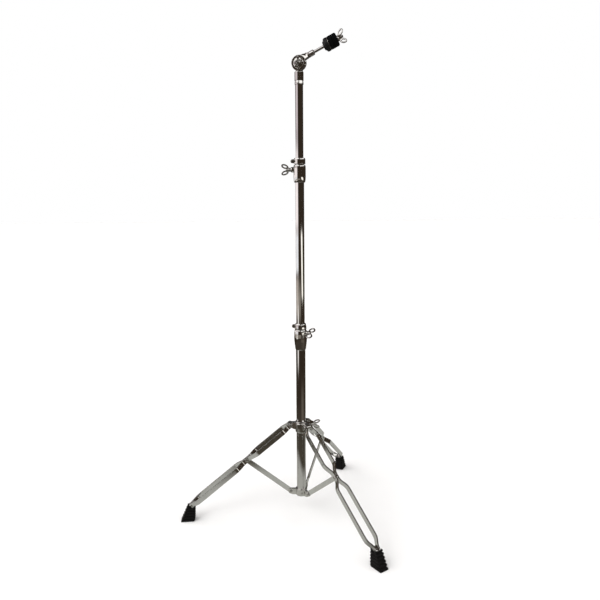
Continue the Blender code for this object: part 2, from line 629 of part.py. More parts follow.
COLLAR_SHIFT = Vector(radial(PIVOT_R, LEG_AZIMUTHS["a"]))
collar_frame = make_empty("collar_pivot", pole_frame, COLLAR_SHIFT + Vector((0, 0, TOP_PIVOT_Z)))
make_collar(collar_frame, COLLAR_SHIFT)
for leg_letter, leg_azimuth in LEG_AZIMUTHS.items():
    make_leg(leg_letter, leg_azimuth, pole_frame, collar_frame, COLLAR_SHIFT)

clamp("lower_clamp", pole_frame, LOWER_CLAMP_Z, BASE_TUBE_Z[1], BASE_TUBE_R, MIDDLE_TUBE_R,
      ((0.0152, 0.0), (0.0162, 0.04), (0.0174, 0.22), (0.0188, 0.42), (0.0195, 0.58), (0.0191, 0.80),
       (0.0184, 0.93), (0.0170, 1.0)), (LOWER_SCREW_AZIMUTH, LOWER_SCREW_Z, LOWER_BOSS_END), -56.0,
      ear=(0.0105, 0.0095), ear_place=(0.0115, 0.0114))
lower_lock_frame = pole_empty("lower_swivel", pole_frame, LOWER_LOCK_Z[0])
memory_lock("lower_memory_lock", lower_lock_frame, LOWER_LOCK_Z, MIDDLE_TUBE_R,
            ((0.0174, 0.0), (0.0180, 0.06), (0.0176, 0.45), (0.0160, 0.85), (0.0146, 1.0)),
            LOCK_SCREW_AZIMUTH)
middle_frame = pole_empty("middle_slide", lower_lock_frame, MIDDLE_TUBE_Z[0])
tube("middle_tube", MIDDLE_TUBE_R, MIDDLE_TUBE_Z, middle_frame)
clamp("upper_clamp", middle_frame, UPPER_CLAMP_Z, MIDDLE_TUBE_Z[1], MIDDLE_TUBE_R, UPPER_TUBE_R,
      ((0.0148, 0.0), (0.0160, 0.04), (0.0166, 0.09), (0.0172, 0.20), (0.0176, 0.31), (0.0176, 0.85),
       (0.0172, 0.95), (0.0160, 1.0)), (UPPER_SCREW_AZIMUTH, UPPER_SCREW_Z, UPPER_BOSS_END), -30.0)
upper_lock_frame = pole_empty("upper_swivel", middle_frame, UPPER_LOCK_Z[0])
memory_lock("upper_memory_lock", upper_lock_frame, UPPER_LOCK_Z, UPPER_TUBE_R,
            ((0.0160, 0.0), (0.0166, 0.06), (0.0166, 0.80), (0.0158, 0.97), (0.0150, 1.0)),
            LOCK_SCREW_AZIMUTH)
upper_frame = pole_empty("upper_slide", upper_lock_frame, UPPER_TUBE_Z[0])
tube("upper_tube", UPPER_TUBE_R, UPPER_TUBE_Z, upper_frame)

tilter_frame = make_empty("tilter", upper_frame, (0, 0, TILTER_Z - UPPER_TUBE_Z[0]),
                          (0, 0, math.radians(TILTER_AZIMUTH)))
tilt_frame = make_empty("tilt_axis", tilter_frame, (0, 0, 0), (0, -ARM_ELEVATION, 0))
felt_frame = make_empty("felt_slide", tilt_frame, (0, 0, ROD_OFFSET))
make_tilter(tilter_frame, tilt_frame)
make_seat(tilt_frame, felt_frame)
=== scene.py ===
"""Looks of a chrome cymbal stand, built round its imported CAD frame.

Every CAD node is replaced by a finer piece of the same size in the same place.  Pieces are made
in the same local frames as the joints: the pole's axis, each leg's plane and the tilted arm.
"""
import json
import math

import bmesh
import bpy
from mathutils import Matrix, Vector, noise


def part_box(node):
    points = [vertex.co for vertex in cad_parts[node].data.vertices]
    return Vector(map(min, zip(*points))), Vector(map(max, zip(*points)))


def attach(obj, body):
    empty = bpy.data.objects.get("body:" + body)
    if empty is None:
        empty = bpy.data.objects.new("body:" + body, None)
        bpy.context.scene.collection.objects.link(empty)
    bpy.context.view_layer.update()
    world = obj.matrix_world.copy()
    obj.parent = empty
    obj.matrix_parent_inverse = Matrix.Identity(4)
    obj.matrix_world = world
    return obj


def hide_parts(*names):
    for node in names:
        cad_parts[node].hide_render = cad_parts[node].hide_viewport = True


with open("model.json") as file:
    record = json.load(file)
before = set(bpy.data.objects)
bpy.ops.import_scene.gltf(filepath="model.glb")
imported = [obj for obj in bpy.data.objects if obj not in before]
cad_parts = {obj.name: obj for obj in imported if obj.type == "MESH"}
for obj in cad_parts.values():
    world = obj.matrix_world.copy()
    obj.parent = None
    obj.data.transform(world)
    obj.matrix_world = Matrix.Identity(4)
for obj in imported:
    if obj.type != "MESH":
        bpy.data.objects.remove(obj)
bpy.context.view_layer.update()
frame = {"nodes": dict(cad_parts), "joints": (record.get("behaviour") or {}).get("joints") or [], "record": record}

# ---------------------------------------------------- places, from the frame
JOINTS = {joint["name"]: joint for joint in frame["joints"]}
BODY_OF = {}
for body_name, node_names in frame["record"]["behaviour"]["bodies"].items():
    for node_name in node_names:
        BODY_OF[node_name] = body_name


def joint_place(name):
    return Vector(JOINTS[name]["pos_m"])


def span(node, axis=2):
    """Lowest and highest coordinate of a CAD node, by default its heights."""
    low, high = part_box(node)
    return low[axis], high[axis]


POLE = Vector((joint_place("lower_swivel").x, 0.0, 0.0))
AZIMUTHS = {"a": math.radians(180.0), "b": math.radians(300.0), "c": math.radians(60.0)}

GAP = 0.0003                    # clearance between neighbouring pieces
TUBE_WALL = 0.0012
SLEEVE_WALL = 0.0012            # of the nylon sleeves round the tubes
BASE_TUBE_R = 0.0143
MIDDLE_TUBE_R = 0.0127
UPPER_TUBE_R = 0.0111
STRAP_WIDTH = 0.0145
STRAP_THICK = 0.0040
STRUT_WIDTH = 0.0150
STRUT_THICK = 0.0030
BRACKET_PLATE = 0.0025          # thickness of the lower bracket's ears
LUG_HALF = 0.0080               # half the thickness of the collar's lugs
SPACER_HALF = 0.0037
PIN_R = 0.0030 - GAP            # rivets and wing screws, a clearance thinner than their holes
DISC_R = 0.0205                 # ratchet discs of the tilter
DISC_THICK = 0.0076
ROD_R = 0.0040
FELT_R = 0.0184
ROD_SLEEVE_R = 0.0060

hinge = joint_place("collar_hinge")
pinch_a = joint_place("leg_a_pinch")
PIVOT_R = POLE.x - hinge.x
LINK = (pinch_a - hinge).length
LEG_SLOPE = math.atan2(hinge.z - pinch_a.z, hinge.x - pinch_a.x)
TOP_PIVOT_Z = hinge.z
STRUT_PIVOT_Z = joint_place("leg_fold").z
STRAP_END = 0.4095              # along a leg, from its pivot at the collar
FOOT_RIVET = 0.4015

TILT = joint_place("tilt")
tilt_axis = Vector(JOINTS["tilt"]["axis"])
TILT_TURN = math.atan2(tilt_axis.x, -tilt_axis.y)
arm_line = Vector(JOINTS["top_felt_lift"]["axis"])
ARM_ELEVATION = math.asin(arm_line.z)

POLE_FRAME = Matrix.Translation(POLE)
TILTER_FRAME = Matrix.Translation(TILT) @ Matrix.Rotation(TILT_TURN, 4, "Z")
ARM_FRAME = TILTER_FRAME @ Matrix.Rotation(-ARM_ELEVATION, 4, "Y")
ROD_OFFSET = (ARM_FRAME.inverted() @ joint_place("cymbal_nut_turn")).z
ROD_FRAME = ARM_FRAME @ Matrix.Translation((0, 0, ROD_OFFSET))


def turned_frame(place, azimuth, slope=0.0):
    turn = Matrix.Rotation(azimuth, 4, "Z") @ Matrix.Rotation(slope, 4, "Y")
    return Matrix.Translation(place) @ turn


def screw_frame(joint_name, roll):
    """Frame of a wing screw: +Z out along its axis, rolled by a number of degrees."""
    axis = Vector(JOINTS[joint_name]["axis"])
    turn = Matrix.Rotation(math.atan2(axis.y, axis.x), 4, "Z") @ Matrix.Rotation(math.pi / 2, 4, "Y")
    return Matrix.Translation(joint_place(joint_name)) @ turn @ Matrix.Rotation(math.radians(roll), 4, "Z")


# ---------------------------------------------------- mesh builders
SHARP_ANGLE = math.radians(38)  # faces that meet at more than this keep a sharp edge

# steps round turned pieces
FELT_STEPS = 144
TUBE_STEPS = 128
BODY_STEPS = 112
RING_STEPS = 96
BOSS_STEPS = 64
SCREW_STEPS = 48
PIN_STEPS = 40


def soften(points, radius, closed=False, steps=4):
    """Round an outline's corners; each corner becomes a short curve at most radius long."""
    result = []
    for index, point in enumerate(points):
        if not closed and index in (0, len(points) - 1):
            result.append(tuple(point))
            continue
        here = Vector(point)
        before = Vector(points[index - 1]) - here
        after = Vector(points[(index + 1) % len(points)]) - here
        start = here + before.normalized() * min(radius, 0.45 * before.length)
        end = here + after.normalized() * min(radius, 0.45 * after.length)
        for step in range(steps + 1):
            share = step / steps
            result.append(tuple(start.lerp(here, share).lerp(here.lerp(end, share), share)))
    return result


def arc(centre, radius, start, end, steps=12):
    """Points on an arc, angles in degrees."""
    points = []
    for step in range(steps + 1):
        angle = math.radians(start + (end - start) * step / steps)
        points.append((centre[0] + radius * math.cos(angle), centre[1] + radius * math.sin(angle)))
    return points


def stitch(mesh, first, second):
    """Faces between two rings of the same number of points."""
    for index in range(len(first)):
        after = (index + 1) % len(first)
        mesh.faces.new((first[index], first[after], second[after], second[index]))


def loft(rings, closed=False):
    """Skin over rings of points; open lofts get a cap at both ends."""
    mesh = bmesh.new()
    made = [[mesh.verts.new(point) for point in ring] for ring in rings]
    for first, second in zip(made, made[1:]):
        stitch(mesh, first, second)
    if closed:
        stitch(mesh, made[-1], made[0])
    else:
        mesh.faces.new(made[0])
        mesh.faces.new(made[-1])
    return mesh


def lathe(profile, segments, axis="Z"):
    """Revolve (radius, height) points.  Ends on the axis give a solid, others a closed ring."""
    mesh = bmesh.new()
    rings = []
    for radius, height in profile:
        count = segments if radius > 1e-7 else 1
        ring = []
        for step in range(count):
            angle = 2 * math.pi * step / segments
            across, up = radius * math.cos(angle), radius * math.sin(angle)
            place = {"Z": (across, up, height), "Y": (across, height, up), "X": (height, across, up)}
            ring.append(mesh.verts.new(place[axis]))
        rings.append(ring)
    pairs = list(zip(rings, rings[1:]))
    if len(rings[0]) > 1 and len(rings[-1]) > 1:
        pairs.append((rings[-1], rings[0]))
    for first, second in pairs:
        if len(first) > 1 and len(second) > 1:
            stitch(mesh, first, second)
            continue
        centre, rim = (first[0], second) if len(first) == 1 else (second[0], first)
        for step in range(segments):
            mesh.faces.new((centre, rim[step], rim[(step + 1) % segments]))
    return mesh


def spun(profile, start, end, segments=72):
    """Revolve a closed (radius, height) outline through part of a turn, angles in degrees."""
    rings = []
    for step in range(segments + 1):
        angle = math.radians(start + (end - start) * step / segments)
        rings.append([(radius * math.cos(angle), radius * math.sin(angle), height)
                      for radius, height in profile])
    return loft(rings)


def shrink(outline, distance):
    """Outline of (x, z) points moved inwards by a distance."""
    count = len(outline)
    area = sum(outline[i - 1][0] * outline[i][1] - outline[i][0] * outline[i - 1][1] for i in range(count))
    inward = 1.0 if area > 0 else -1.0
    result = []
    for index in range(count):
        here = Vector(outline[index])
        into = (here - Vector(outline[index - 1])).normalized()
        out = (Vector(outline[(index + 1) % count]) - here).normalized()
        first = Vector((-into.y, into.x)) * inward
        second = Vector((-out.y, out.x)) * inward
        middle = (first + second).normalized()
        result.append(tuple(here + middle * distance / max(0.35, middle.dot(first))))
    return result


def slab(outline, low, high, edge=0.0005):
    """Plate with rounded rims: (x, z) outline, from y = low to y = high."""
    rings = []
    for angle in (0, 30, 60, 90):
        inset = edge * (1 - math.sin(math.radians(angle)))
        rings.append((low + edge * (1 - math.cos(math.radians(angle))), inset))
    rings += [(high - (y - low), inset) for y, inset in reversed(rings)]
    return loft([[(x, y, z) for x, z in shrink(outline, inset)] for y, inset in rings])


def block(x_range, y_range, z_range, corner=0.0008):
    """Box with rounded edges between three pairs of coordinates."""
    corners = [(x_range[0], z_range[0]), (x_range[1], z_range[0]),
               (x_range[1], z_range[1]), (x_range[0], z_range[1])]
    return slab(soften(corners, corner, True), *y_range)


def bar(stations, thickness, edge=0.0003):
    """Flat bar on edge with rounded edges: (x, y, half width) stations, width along z."""
    rings = []
    for index, (x, y, half_width) in enumerate(stations):
        before = stations[max(index - 1, 0)]
        after = stations[min(index + 1, len(stations) - 1)]
        along = (Vector(after[:2]) - Vector(before[:2])).normalized()
        across = Vector((-along.y, along.x))
        half = thickness / 2
        corner = min(edge, 0.8 * half_width)
        ring = []
        for sign_side, sign_up, start in ((1, 1, 0), (-1, 1, 90), (-1, -1, 180), (1, -1, 270)):
            centre = (sign_side * (half - corner), sign_up * (half_width - corner))
            for side, up in arc(centre, corner, start, start + 90, 4):
                ring.append((x + side * across.x, y + side * across.y, up))
        rings.append(ring)
    return loft(rings)


def rounded_square(angle, roundness):
    """Point of a rounded square with half side 1; at roundness 1 it is a circle."""
    cosine = math.cos(angle)
    sine = math.sin(angle)
    return (math.copysign(abs(cosine) ** roundness, cosine),
            math.copysign(abs(sine) ** roundness, sine))


def oval_ring(centre, long_half, wide_half, lean, band, half_thick):
    """Flat oval ring with rounded edges in the x-z plane, its long side leaning from +z to +x."""
    steps = 40
    section_steps = 12
    roundness = 0.7
    rings = []
    for step in range(steps):
        angle = 2 * math.pi * step / steps
        ring = []
        for turn in range(section_steps):
            section = 2 * math.pi * turn / section_steps
            out, rise = rounded_square(section, roundness)
            depth = band / 2 * (1 - out)
            thick = half_thick * rise
            along = (long_half - depth) * math.cos(angle)
            across = (wide_half - depth) * math.sin(angle)
            x = centre[0] + across * math.cos(lean) + along * math.sin(lean)
            z = centre[1] + along * math.cos(lean) - across * math.sin(lean)
            ring.append((x, thick, z))
        rings.append(ring)
    return loft(rings, closed=True)


def moved(mesh, matrix):
    bmesh.ops.transform(mesh, matrix=matrix, verts=mesh.verts)
    return mesh


def joined(*meshes):
    """One mesh that holds several closed shells."""
    whole = bmesh.new()
    for mesh in meshes:
        data = bpy.data.meshes.new("part")
        mesh.to_mesh(data)
        mesh.free()
        whole.from_mesh(data)
        bpy.data.meshes.remove(data)
    return whole


def thread(radius, low, high, pitch=0.00125, depth=0.0006):
    """Profile points of a screw thread, as close ridges."""
    points = []
    count = int((high - low) / pitch)
    for index in range(count):
        start = low + index * pitch
        points += [(radius - depth, start), (radius, start + 0.45 * pitch), (radius, start + 0.6 * pitch)]
    points.append((radius - depth, low + count * pitch))
    return points


# ---------------------------------------------------- materials
def new_material(name, roughness=0.5, metallic=0.0):
    material = bpy.data.materials.new(name)
    material.use_nodes = True
    shader = material.node_tree.nodes["Principled BSDF"]
    shader.inputs["Roughness"].default_value = roughness
    shader.inputs["Metallic"].default_value = metallic
    return material, material.node_tree, shader


def add_noise(tree, scale, detail, stretch=(1, 1, 1)):
    """Noise in the object's own coordinates; a stretch below 1 lengthens its grain on that axis."""
    place = tree.nodes.new("ShaderNodeTexCoord")
    mapping = tree.nodes.new("ShaderNodeMapping")
    mapping.inputs["Scale"].default_value = stretch
    texture = tree.nodes.new("ShaderNodeTexNoise")
    texture.inputs["Scale"].default_value = scale
    texture.inputs["Detail"].default_value = detail
    tree.links.new(place.outputs["Object"], mapping.inputs["Vector"])
    tree.links.new(mapping.outputs["Vector"], texture.inputs["Vector"])
    return texture.outputs["Fac"]


def add_range(tree, value, low, high, to_low, to_high, interpolation="LINEAR"):
    node = tree.nodes.new("ShaderNodeMapRange")
    node.interpolation_type = interpolation
    node.inputs["From Min"].default_value = low
    node.inputs["From Max"].default_value = high
    node.inputs["To Min"].default_value = to_low
    node.inputs["To Max"].default_value = to_high
    tree.links.new(value, node.inputs["Value"])
    return node.outputs["Result"]


def add_ramp(tree, value, stops):
    ramp = tree.nodes.new("ShaderNodeValToRGB")
    elements = ramp.color_ramp.elements
    while len(elements) < len(stops):
        elements.new(1.0)
    for element, (position, color) in zip(elements, stops):
        element.position = position
        element.color = (*color, 1.0)
    tree.links.new(value, ramp.inputs["Fac"])
    return ramp.outputs["Color"]


def add_bump(tree, shader, height, strength, distance):
    bump = tree.nodes.new("ShaderNodeBump")
    bump.inputs["Strength"].default_value = strength
    bump.inputs["Distance"].default_value = distance
    tree.links.new(height, bump.inputs["Height"])
    tree.links.new(bump.outputs["Normal"], shader.inputs["Normal"])


def metal(name, dark, light, roughness, grain_scale, grain_stretch, grain):
    """Plated metal: cloudy colour and gloss, and a fine grain of polish marks."""
    material, tree, shader = new_material(name, metallic=1.0)
    cloud = add_noise(tree, 45.0, 5.0)
    tree.links.new(add_ramp(tree, cloud, [(0.30, dark), (0.70, light)]), shader.inputs["Base Color"])
    smear = add_noise(tree, 90.0, 6.0, (1, 1, 0.25))
    tree.links.new(add_range(tree, smear, 0.3, 0.8, *roughness), shader.inputs["Roughness"])
    add_bump(tree, shader, add_noise(tree, grain_scale, 3.0, grain_stretch), grain, 0.0002)
    return material


def matte(name, dark, light, roughness, fine_scale, bump, distance, specular, sheen=0.0):
    """Rubber, felt or plastic: speckled dark colour, uneven gloss and a pitted surface."""
    material, tree, shader = new_material(name)
    shader.inputs["Specular IOR Level"].default_value = specular
    shader.inputs["Sheen Weight"].default_value = sheen
    shader.inputs["Sheen Roughness"].default_value = 0.6
    speckle = add_noise(tree, fine_scale, 8.0)
    tree.links.new(add_ramp(tree, speckle, [(0.35, dark), (0.68, light)]), shader.inputs["Base Color"])
    patch = add_noise(tree, 60.0, 3.0)
    tree.links.new(add_range(tree, patch, 0.3, 0.7, *roughness), shader.inputs["Roughness"])
    add_bump(tree, shader, speckle, bump, distance)
    return material


CHROME = metal("polished_chrome", (0.74, 0.73, 0.72), (0.82, 0.81, 0.80), roughness=(0.025, 0.075),
               grain_scale=900.0, grain_stretch=(1, 1, 0.05), grain=0.04)
CAST = metal("cast_chrome", (0.70, 0.69, 0.67), (0.80, 0.79, 0.77), roughness=(0.04, 0.13),
             grain_scale=420.0, grain_stretch=(1, 1, 1), grain=0.16)
STRAP = metal("strap_chrome", (0.80, 0.80, 0.79), (0.88, 0.88, 0.87), roughness=(0.05, 0.16),
              grain_scale=700.0, grain_stretch=(0.05, 1, 1), grain=0.12)
STEEL = metal("plated_steel", (0.48, 0.47, 0.45), (0.62, 0.61, 0.58), roughness=(0.16, 0.34),
              grain_scale=600.0, grain_stretch=(1, 1, 1), grain=0.22)
RUBBER = matte("black_rubber", (0.0015, 0.0015, 0.0015), (0.0050, 0.0050, 0.0048),
               roughness=(0.42, 0.62), fine_scale=1400.0, bump=0.35, distance=0.0002, specular=0.20)
FELT = matte("black_felt", (0.0008, 0.0009, 0.0011), (0.0036, 0.0038, 0.0042), roughness=(0.92, 1.0),
             fine_scale=2200.0, bump=0.9, distance=0.0006, specular=0.03, sheen=0.008)
PLASTIC = matte("black_plastic", (0.004, 0.004, 0.0045), (0.008, 0.008, 0.0085),
                roughness=(0.35, 0.5), fine_scale=900.0, bump=0.15, distance=0.0001, specular=0.3)
NYLON = matte("grey_nylon", (0.020, 0.020, 0.020), (0.040, 0.040, 0.038), roughness=(0.4, 0.55),
              fine_scale=800.0, bump=0.12, distance=0.0001, specular=0.4)


# ---------------------------------------------------- pieces
def add(node, mesh, matrix, material):
    """Put a fine mesh where a CAD node is, on the node's own body."""
    bmesh.ops.recalc_face_normals(mesh, faces=mesh.faces)
    data = bpy.data.meshes.new(node + "_look")
    mesh.to_mesh(data)
    mesh.free()
    data.shade_smooth()
    data.set_sharp_from_angle(angle=SHARP_ANGLE)
    data.materials.append(material)
    piece = bpy.data.objects.new(node + "_look", data)
    bpy.context.scene.collection.objects.link(piece)
    piece.matrix_world = matrix
    weighted = piece.modifiers.new("weighted", "WEIGHTED_NORMAL")
    weighted.keep_sharp = True
    weighted.weight = 80
    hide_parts(node)
    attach(piece, BODY_OF[node])
    return piece


def domed_pin(half_grip, head_r, head_height):
    """Rivet profile with a smooth domed head at each end."""
    side = half_grip + GAP
    head = [(head_r * math.cos(math.radians(angle)), side + head_height * math.sin(math.radians(angle)))
            for angle in range(0, 90, 12)]
    half = [(PIN_R, side), (head_r - 0.0003, side)] + head + [(0, side + head_height)]
    return [(radius, -height) for radius, height in reversed(half)] + half


def add_rivet(node, half_grip, matrix, head_r=0.0052, head_height=0.0018):
    profile = domed_pin(half_grip, head_r, head_height)
    add(node, lathe(profile, PIN_STEPS, "Y"), matrix, STEEL)


def ring_profile(inner, outer, low, high, rounding):
    return soften([(inner, low), (outer, low), (outer, high), (inner, high)], rounding, True)


def add_tube(node, radius):
    profile = ring_profile(radius - TUBE_WALL, radius, *span(node), 0.0005)
    add(node, lathe(profile, TUBE_STEPS), POLE_FRAME, CHROME)


# wings of the screws and nuts: half the length and half the width, and the middle's place
BROAD_WING = ((0.0105, 0.0095), (0.0115, 0.0114))
NARROW_WING = ((0.0112, 0.0068), (0.0098, 0.0150))
TILTER_WING = ((0.0085, 0.0055), (0.0094, 0.0110))
CYMBAL_WING = ((0.0105, 0.0068), (0.0128, 0.0125))
SCREW_HUB_R = 0.0058
WING_LEAN = 25.0
CYMBAL_WING_LEAN = 35.0


def wing_mesh(hub_r, wing, lean, shank=0.0, bore=0.0):
    """Hub with a waist, two oval wings, and a threaded shank or a bore; z = 0 is the hub's seat."""
    hub_height = 0.0115
    band = 0.0042
    half_thick = 0.0018
    ear, ear_place = wing
    body = [(hub_r, 0), (hub_r, 0.0026), (0.86 * hub_r, 0.0040), (0.68 * hub_r, hub_height)]
    if bore:
        hub = lathe(soften([(bore, 0)] + body + [(bore, hub_height)], 0.0009, True), SCREW_STEPS)
    else:
        screw = [(0, -shank)] + thread(PIN_R, -shank, -0.0002) + [(PIN_R, 0)]
        hub = lathe(screw + soften(body + [(0, hub_height + 0.0010)], 0.0009), SCREW_STEPS)
    wings = [oval_ring(ear_place, *ear, math.radians(lean), band, half_thick)]
    wings.append(moved(wings[0].copy(), Matrix.Rotation(math.pi, 4, "Z")))
    root_x = 0.5 * hub_r
    root_z = ear_place[1] - ear[0] + 0.0030
    for side in (1, -1):
        root = [(side * root_x, 0.0016), (side * (ear_place[0] - 0.2 * ear[1]), root_z),
                (side * (ear_place[0] - 0.55 * ear[1]), ear_place[1]), (side * root_x, hub_height - 0.0010)]
        wings.append(slab(soften(root, 0.0012, True), -0.8 * half_thick, 0.8 * half_thick, 0.0004))
    return joined(hub, *wings)


def add_clamp(prefix, outer_r, inner_r, tube_top, outline, joint_name, roll, wing):
    """Cast clamp with the boss of its wing screw, the nylon sleeve inside and the screw itself.

    outline gives (radius, share of the height) points of the outside, from the bottom up.
    """
    low, high = span(prefix + "_body")
    seat = tube_top + GAP
    sleeve_r = outer_r + SLEEVE_WALL
    outside = [(radius, low + share * (high - low)) for radius, share in outline]
    inside = [(sleeve_r + GAP, high), (sleeve_r + GAP, seat), (outer_r + GAP, seat), (outer_r + GAP, low)]
    shell = lathe(soften(outside + inside, 0.0022, True), BODY_STEPS)
    boss_start = sleeve_r + 0.0012
    boss_end = (joint_place(joint_name) - POLE).to_2d().length - GAP
    boss = soften([(0, boss_start), (0.0078, boss_start), (0.0076, boss_end - 0.0035),
                   (0.0060, boss_end - 0.0008), (0.0050, boss_end), (0, boss_end)], 0.0014)
    out = POLE_FRAME.inverted() @ screw_frame(joint_name, 0.0) @ Matrix.Translation((0, 0, -boss_end - GAP))
    body = joined(shell, moved(lathe(boss, BOSS_STEPS), out))
    add(prefix + "_body", body, POLE_FRAME, CAST)
    lip = high + 0.0006
    sleeve = [(inner_r + GAP, seat + GAP), (sleeve_r, seat + GAP), (sleeve_r, high),
              (sleeve_r - 0.0004, lip), (inner_r + GAP, lip)]
    add(prefix + "_sleeve", lathe(soften(sleeve, 0.0003, True), RING_STEPS), POLE_FRAME, NYLON)
    screw = wing_mesh(SCREW_HUB_R, wing, WING_LEAN, shank=boss_end - sleeve_r)
    add(prefix + "_wing_screw", screw, screw_frame(joint_name, roll), CHROME)


def add_memory_lock(prefix, tube_r, outline, joint_name):
    """Split ring with its two ears, and the square-headed screw through them."""
    low, high = span(prefix)
    place = joint_place(joint_name)
    toward = place - POLE
    azimuth = math.atan2(toward.y, toward.x)
    ear_r = toward.to_2d().length
    ear_half = 0.0044
    split = 0.0008
    middle = place.z
    outside = [(radius, low + share * (high - low) - middle) for radius, share in outline]
    section = soften(outside + [(tube_r + GAP, high - middle), (tube_r + GAP, low - middle)], 0.0010, True)
    half_gap = math.degrees(split / tube_r)
    shells = [spun(section, half_gap, 360.0 - half_gap)]
    rim = 0.0052
    ear = arc((ear_r, 0), rim, -90, 90) + [(tube_r + 0.0014, rim), (tube_r + 0.0014, -rim)]
    for edges in ((split, ear_half), (-ear_half, -split)):
        shells.append(slab(ear, *edges, 0.0007))
    add(prefix, joined(*shells), turned_frame(Vector((POLE.x, 0, middle)), azimuth), CAST)

    core_r = 0.0023
    tip = -ear_half - 0.0020
    start = ear_half + GAP
    head = ear_half + 0.0022
    shank = [(0, tip)] + thread(core_r, tip, -ear_half) + [(core_r, start)]
    shank += soften([(0.0036, start), (0.0036, head), (0, head)], 0.0004)
    square = [(-core_r, -core_r), (core_r, -core_r), (core_r, core_r), (-core_r, core_r)]
    key = slab(soften(square, 0.0005, True), ear_half + 0.0010, ear_half + 0.0068)
    screw = joined(lathe(shank, PIN_STEPS, "Y"), key)
    add(prefix + "_screw", screw, turned_frame(place, azimuth), STEEL)


# ---- pole
add_tube("base_tube", BASE_TUBE_R)
add_tube("middle_tube", MIDDLE_TUBE_R)
add_tube("upper_tube", UPPER_TUBE_R)

add_clamp("lower_clamp", BASE_TUBE_R, MIDDLE_TUBE_R, span("base_tube")[1],
          ((0.0152, 0.0), (0.0162, 0.04), (0.0174, 0.22), (0.0188, 0.42), (0.0195, 0.58), (0.0191, 0.80),
           (0.0184, 0.93), (0.0170, 1.0)),
          "lower_screw_turn", -56.0, BROAD_WING)
add_clamp("upper_clamp", MIDDLE_TUBE_R, UPPER_TUBE_R, span("middle_tube")[1],
          ((0.0148, 0.0), (0.0160, 0.04), (0.0166, 0.09), (0.0172, 0.20), (0.0176, 0.31), (0.0176, 0.85),
           (0.0172, 0.95), (0.0160, 1.0)),
          "upper_screw_turn", -30.0, NARROW_WING)
add_memory_lock("lower_memory_lock", MIDDLE_TUBE_R,
                ((0.0174, 0.0), (0.0180, 0.06), (0.0176, 0.45), (0.0160, 0.85), (0.0146, 1.0)),
                "lower_lock_screw_turn")
add_memory_lock("upper_memory_lock", UPPER_TUBE_R,
                ((0.0160, 0.0), (0.0166, 0.06), (0.0166, 0.80), (0.0158, 0.97), (0.0150, 1.0)),
                "upper_lock_screw_turn")


# ---- lower bracket and its pin
def add_bracket():
    low, high = span("lower_bracket")
    shells = [lathe(ring_profile(BASE_TUBE_R + GAP, 0.0182, low, high, 0.0010), BODY_STEPS)]
    root = 0.0165
    ear = [(root, low + 0.0010), (0.0300, low + 0.0025)]
    ear += arc((PIVOT_R, STRUT_PIVOT_Z), 0.0085, -75, 105, 20) + [(root, high - 0.0010)]
    inside = STRUT_THICK / 2 + GAP
    for azimuth in AZIMUTHS.values():
        for side in (1, -1):
            edges = sorted((side * inside, side * (inside + BRACKET_PLATE)))
            shells.append(moved(slab(ear, *edges, 0.0006), Matrix.Rotation(azimuth, 4, "Z")))
    add("lower_bracket", joined(*shells), POLE_FRAME, CAST)

    head_r = 0.0032
    shank_r = 0.0019
    shank_half = 0.0185
    pin_half = span("bracket_pin", 1)[1]
    pin = [(0, -pin_half), (head_r, -pin_half), (head_r, -shank_half), (shank_r, -shank_half),
           (shank_r, shank_half), (head_r, shank_half), (head_r, pin_half), (0, pin_half)]
    pin = lathe(soften(pin, 0.0004), PIN_STEPS, "Y")
    place = Vector((POLE.x, 0, sum(span("bracket_pin")) / 2))
    add("bracket_pin", pin, Matrix.Translation(place), STEEL)


add_bracket()


# ---- leg collar
def add_collar():
    """Sliding collar with three lugs and a screw boss, its sleeve, its screw and its rivets."""
    place = Vector((POLE.x, 0, TOP_PIVOT_Z))
    bore = BASE_TUBE_R + GAP
    sleeve_r = bore + SLEEVE_WALL
    inner = sleeve_r + GAP
    low, lip, top = (height - TOP_PIVOT_Z for height in (0.2770, 0.2815, 0.3120))
    outside = [(0.0164, 0.2770), (0.0172, 0.2785), (0.0179, 0.2850), (0.0188, 0.2930), (0.0190, 0.3060),
               (0.0180, 0.3075), (0.0180, 0.3105), (0.0172, 0.3120)]
    outside = [(radius, height - TOP_PIVOT_Z) for radius, height in outside]
    inside = [(inner, top), (inner, lip), (bore, lip), (bore, low)]
    shells = [lathe(soften(outside + inside, 0.0012, True), BODY_STEPS)]
    root = 0.0168
    lug = [(root, -0.0150), (0.0230, -0.0135)] + arc((PIVOT_R, 0), 0.0075, -80, 90, 18) + [(root, 0.0075)]
    for azimuth in AZIMUTHS.values():
        shells.append(moved(slab(lug, -LUG_HALF, LUG_HALF, 0.0012), Matrix.Rotation(azimuth, 4, "Z")))
    boss_end = joint_place("collar_screw_turn").x - POLE.x - GAP
    boss = soften([(0, root), (0.0082, root), (0.0072, 0.0215), (0.0068, 0.0250), (0.0056, boss_end),
                   (0, boss_end)], 0.0010)
    screw = screw_frame("collar_screw_turn", 0.0)
    out = Matrix.Translation(-place) @ screw @ Matrix.Translation((0, 0, -boss_end - GAP))
    shells.append(moved(lathe(boss, BOSS_STEPS), out))
    add("leg_collar", joined(*shells), Matrix.Translation(place), CAST)
    sleeve = ring_profile(bore, sleeve_r, lip + GAP, top + 0.0005, 0.0003)
    add("collar_sleeve", lathe(sleeve, RING_STEPS), Matrix.Translation(place), NYLON)
    screw = wing_mesh(SCREW_HUB_R, NARROW_WING, WING_LEAN, shank=boss_end - sleeve_r)
    add("collar_wing_screw", screw, screw_frame("collar_screw_turn", 18.0), CHROME)
    for letter, azimuth in AZIMUTHS.items():
        toward = Vector((math.cos(azimuth), math.sin(azimuth), 0)) * PIVOT_R
        half_grip = LUG_HALF + GAP + STRAP_THICK
        add_rivet("collar_rivet_" + letter, half_grip, turned_frame(place + toward, azimuth))


add_collar()


